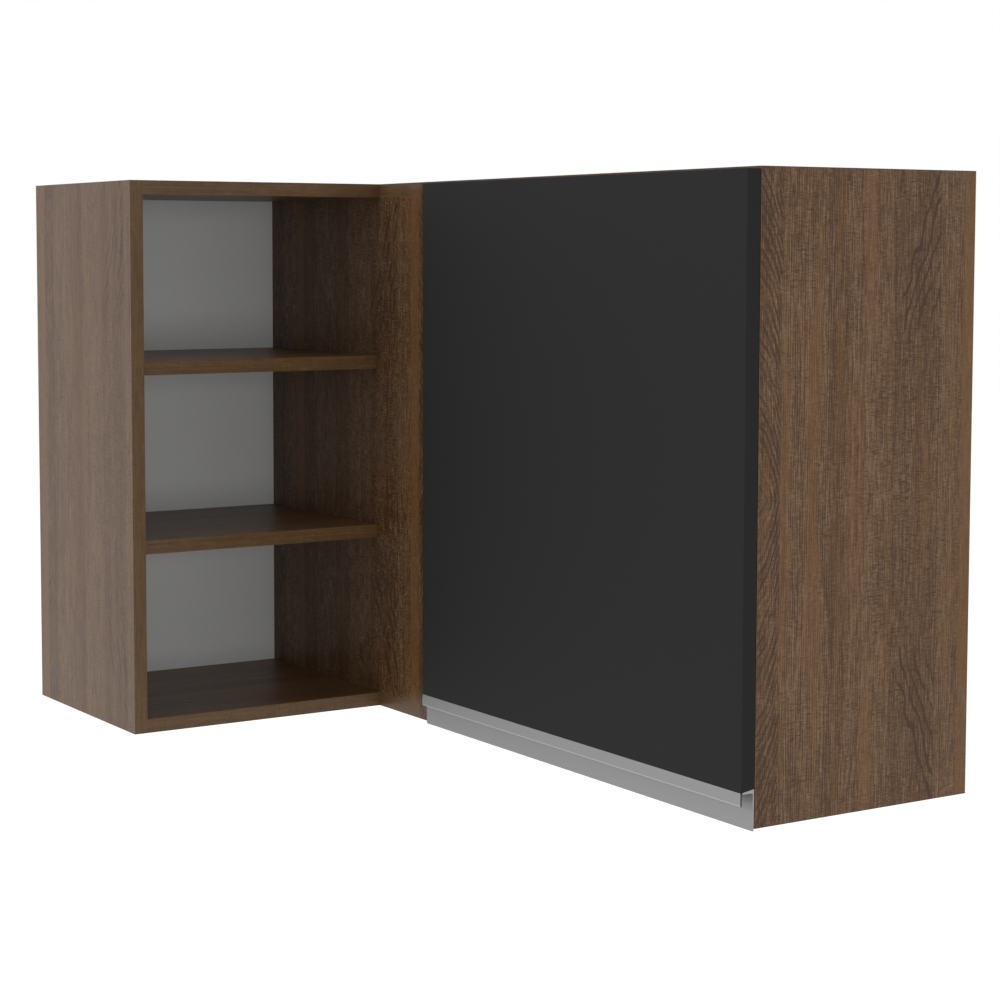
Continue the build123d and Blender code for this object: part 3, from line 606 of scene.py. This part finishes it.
# A screw's points lie on its head or its shank by these shares of the head's radius.
HEAD_RIM = 0.95
SHANK_REACH = 0.8
# The cross recess, the crown of a head and the point, as shares of the screw's own sizes.
CROSS_ARM = 0.13
CROSS_REACH = 0.6
CROSS_DEPTH = 0.75
CROWN_DROP = 0.55
POINT_START = 0.7
POINT_WIDTH = 0.1
SMOOTH_LIMIT = math.radians(38)
FLAT_LIMIT = math.radians(1)
WELD = 0.001 * MM


def new_piece(name, builder, material, body, slot, node):
    """An object from a finished bmesh that rides on a body in place of a CAD node."""
    bmesh.ops.recalc_face_normals(builder, faces=builder.faces)
    mesh = bpy.data.meshes.new(name)
    builder.to_mesh(mesh)
    builder.free()
    mesh.materials.append(material)
    mesh.shade_smooth()
    mesh.set_sharp_from_angle(angle=SMOOTH_LIMIT)
    piece = bpy.data.objects.new(name, mesh)
    bpy.context.scene.collection.objects.link(piece)
    flats = piece.modifiers.new("flat_faces_stay_flat", "WEIGHTED_NORMAL")
    flats.keep_sharp = True
    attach(piece, body)
    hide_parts(node)


def solids(node):
    """The points of each separate solid of a CAD node."""
    source = bmesh.new()
    source.from_mesh(NODES[node].data)
    bmesh.ops.remove_doubles(source, verts=source.verts, dist=WELD)
    # A dictionary keeps its order, so that the solids come in the same order each run.
    waiting = dict.fromkeys(source.verts)
    while waiting:
        stack = [waiting.popitem()[0]]
        points = []
        while stack:
            vert = stack.pop()
            points.append(vert.co.copy())
            for edge in vert.link_edges:
                other = edge.other_vert(vert)
                if other in waiting:
                    del waiting[other]
                    stack.append(other)
        yield points
    source.free()


def screw_frame(points):
    """A screw's sizes and the matrix that puts its seat at the origin, its head upwards."""
    low = Vector(map(min, zip(*points)))
    high = Vector(map(max, zip(*points)))
    centre = (low + high) / 2
    axis = max(range(3), key=lambda i: high[i] - low[i])
    along = [point[axis] - centre[axis] for point in points]
    radii = [math.hypot(*(point[i] - centre[i] for i in range(3) if i != axis)) for point in points]
    head_radius = max(radii)
    head = [place for place, radius in zip(along, radii) if radius > HEAD_RIM * head_radius]
    shank_radius = max(radius for radius in radii if radius < SHANK_REACH * head_radius)
    side = 1 if sum(head) > 0 else -1
    seat = min(head, key=lambda place: side * place)
    outward = Vector((0, 0, 0))
    outward[axis] = side
    origin = centre.copy()
    origin[axis] += seat
    turn = Vector((0, 0, 1)).rotation_difference(outward).to_matrix().to_4x4()
    head_height = max(head) - min(head)
    shank_length = high[axis] - low[axis] - head_height
    return Matrix.Translation(origin) @ turn, head_radius, head_height, shank_radius, shank_length


def cross_head_screw(builder, place, head_radius, head_height, shank_radius, shank_length):
    """A pan head with a tapered cross recess over a shank that narrows to a point."""
    disc = bmesh.ops.create_grid(
        builder, x_segments=HEAD_GRID, y_segments=HEAD_GRID, size=1.0
    )["verts"]
    for vert in disc:
        x, y = vert.co.x, vert.co.y
        arm, reach = sorted((abs(x), abs(y)))
        x, y = x * math.sqrt(1 - y * y / 2), y * math.sqrt(1 - x * x / 2)
        crown = 1 - CROWN_DROP * math.hypot(x, y) ** 4
        inside = arm < CROSS_ARM and reach < CROSS_REACH
        recess = CROSS_DEPTH * (1 - reach / CROSS_REACH) if inside else 0
        vert.co = (x * head_radius, y * head_radius, head_height * (crown - recess))
    rim = [edge for vert in disc for edge in vert.link_edges if edge.is_boundary]
    made = list(disc)
    shank_width = shank_radius / head_radius
    rings = (
        (1.0, 0.0),
        (shank_width, 0.0),
        (shank_width, -POINT_START * shank_length),
        (POINT_WIDTH * shank_width, -shank_length),
    )
    for width, level in rings:
        grown = bmesh.ops.extrude_edge_only(builder, edges=list(dict.fromkeys(rim)))["geom"]
        verts = [item for item in grown if isinstance(item, bmesh.types.BMVert)]
        rim = [item for item in grown if isinstance(item, bmesh.types.BMEdge) and item.is_boundary]
        for vert in verts:
            direction = Vector((vert.co.x, vert.co.y)).normalized() * head_radius * width
            vert.co = (direction.x, direction.y, level)
        made += verts
    bmesh.ops.holes_fill(builder, edges=list(dict.fromkeys(rim)), sides=0)
    bmesh.ops.transform(builder, matrix=place, verts=made)


def cross_head_screws(node, body):
    """Cross-recessed screws in place of a node's plain ones."""
    builder = bmesh.new()
    for points in solids(node):
        cross_head_screw(builder, *screw_frame(points))
    # Extruding leaves the new faces in another order each run, so they are put in a fixed one.
    places = sorted(builder.faces, key=lambda face: tuple(face.calc_center_median()))
    order = {face: index for index, face in enumerate(places)}
    builder.faces.sort(key=order.get)
    new_piece(node + "_recessed", builder, zinc_plated, body, "zinc_steel", node)


def softened(node, body, slot, material, width):
    """The node's own shape with every sharp edge rounded by this many millimetres."""
    builder = bmesh.new()
    builder.from_mesh(NODES[node].data)
    bmesh.ops.remove_doubles(builder, verts=builder.verts, dist=WELD)
    bmesh.ops.dissolve_limit(
        builder, angle_limit=FLAT_LIMIT, verts=builder.verts, edges=builder.edges
    )
    sharp = [
        edge for edge in builder.edges if edge.is_manifold and edge.calc_face_angle() > SMOOTH_LIMIT
    ]
    bmesh.ops.bevel(
        builder,
        geom=sharp,
        affect="EDGES",
        offset=width * MM,
        offset_type="OFFSET",
        segments=2,
        profile=0.5,
        clamp_overlap=True,
        material=-1,
    )
    new_piece(node + "_softened", builder, material, body, slot, node)


for node, body in (
    ("joining_plate_screws", "carcass"),
    ("keyhole_screws", "carcass"),
    ("plate_screws", "carcass"),
    ("arm_screws", "carcass"),
    ("cup_screws", "door"),
    ("handle_profile_screws", "door"),
):
    cross_head_screws(node, body)
for node, body, slot, material, width in (
    ("hinge_arms", "carcass", "nickel_hinge", nickel, 0.3),
    ("mounting_plates", "carcass", "nickel_hinge", nickel, 0.4),
    ("hinge_cups", "door", "nickel_hinge", nickel, 0.25),
    ("hinge_links", "hinge_link", "nickel_hinge", nickel, 0.3),
    ("joining_plates", "carcass", "zinc_steel", zinc_plated, 0.4),
    ("keyhole_hangers", "carcass", "zinc_steel", zinc_plated, 0.3),
    ("handle_profile", "door", "satin_aluminium", aluminium, 0.2),
    ("cam_locks", "carcass", "zinc_casting", zinc_cast, 0.5),
    ("shelf_support_pins", "carcass", "zinc_steel", zinc_plated, 0.5),
    ("back_panel_nails", "carcass", "zinc_steel", zinc_plated, 0.15),
    ("dowels", "carcass", "batten_wood", beech, 0.8),
    ("door_bumpers", "door", "clear_bumper", clear_rubber, 0.5),
    ("hanging_batten_long", "carcass", "batten_wood", batten_pine, 0.8),
    ("hanging_batten_corner", "carcass", "batten_wood", batten_pine, 0.8),
):
    softened(node, body, slot, material, width)

# ---------------- floor, light and camera
FLOOR_LEVEL = -1.45
FLOOR_SIZE = 40.0
FLOOR_COLOUR = "#E6E6E6"
FLOOR_GLOW = 0.6
AMBIENT = 0.6
WHITE = "#FFFFFF"


def seen_directly(tree):
    """1 for the camera, reflections and views through glass, and 0 for light on matt surfaces."""
    ray = add(tree, "ShaderNodeLightPath").outputs
    reflected = figured(tree, "MAXIMUM", ray["Is Camera Ray"], ray["Is Glossy Ray"])
    return figured(tree, "MAXIMUM", reflected, ray["Is Transmission Ray"])


def pale_floor():
    """Matt white floor: full white where it is seen or reflected, yet it keeps the shadow."""
    material, tree, output = new_material("matt_white_floor")
    strength = figured(tree, "MULTIPLY", seen_directly(tree), FLOOR_GLOW)
    glow = add(tree, "ShaderNodeEmission", {"Strength": strength})
    matt = add(tree, "ShaderNodeBsdfDiffuse", {"Color": linear(FLOOR_COLOUR)})
    both = add(tree, "ShaderNodeAddShader", {0: glow.outputs[0], 1: matt.outputs[0]})
    tree.links.new(both.outputs[0], output.inputs["Surface"])
    return material


bpy.ops.mesh.primitive_plane_add(size=FLOOR_SIZE, location=(0, 0, FLOOR_LEVEL))
floor = bpy.context.object
floor.name = "floor"
floor.data.materials.append(pale_floor())

world = bpy.data.worlds.new("white_studio")
bpy.context.scene.world = world
world.use_nodes = True
studio = world.node_tree
studio.nodes.clear()
level = add(studio, "ShaderNodeMapRange", {0: seen_directly(studio), 3: AMBIENT, 4: 1.0})
sky = add(studio, "ShaderNodeBackground", {"Color": linear(WHITE), "Strength": level.outputs[0]})
add(studio, "ShaderNodeOutputWorld", {"Surface": sky.outputs[0]})


def soft_lamp(name, place, aim, size, power):
    """A square area lamp turned to face a point; its size is in metres, its power in watts."""
    lamp = bpy.data.lights.new(name, "AREA")
    lamp.shape = "SQUARE"
    lamp.size = size
    lamp.energy = power
    holder = bpy.data.objects.new(name, lamp)
    holder.location = place
    holder.rotation_euler = (Vector(aim) - Vector(place)).to_track_quat("-Z", "Y").to_euler()
    bpy.context.scene.collection.objects.link(holder)


CENTRE = (-0.35, -0.55, 0.36)
soft_lamp("left_lamp", (-3.7, -0.1, 1.4), CENTRE, 0.8, 20.5)
soft_lamp("front_lamp", (-0.6, -5.0, 0.4), CENTRE, 1.6, 34)

# Camera: solved from the straight edges of the cabinet; the photograph is a crop of a wider frame,
# so its principal point sits up and left of the middle.
SENSOR = 36.0
FOCAL_PIXELS = 2289.7
IMAGE_PIXELS = 1000
PRINCIPAL_POINT = (425, 425)
CAMERA_PLACE = (-1.9113, -3.0244, 0.6285)
YAW = math.radians(31.637)
PITCH = math.radians(4.334)
camera = bpy.data.cameras.new("camera")
camera.sensor_width = SENSOR
camera.lens = SENSOR * FOCAL_PIXELS / IMAGE_PIXELS
camera.shift_x = 0.5 - PRINCIPAL_POINT[0] / IMAGE_PIXELS
camera.shift_y = PRINCIPAL_POINT[1] / IMAGE_PIXELS - 0.5
camera_holder = bpy.data.objects.new("camera", camera)
camera_holder.location = CAMERA_PLACE
camera_holder.rotation_euler = (math.radians(90) - PITCH, 0, -YAW)
bpy.context.scene.collection.objects.link(camera_holder)
bpy.context.scene.camera = camera_holder
bpy.context.scene.view_settings.view_transform = "Standard"
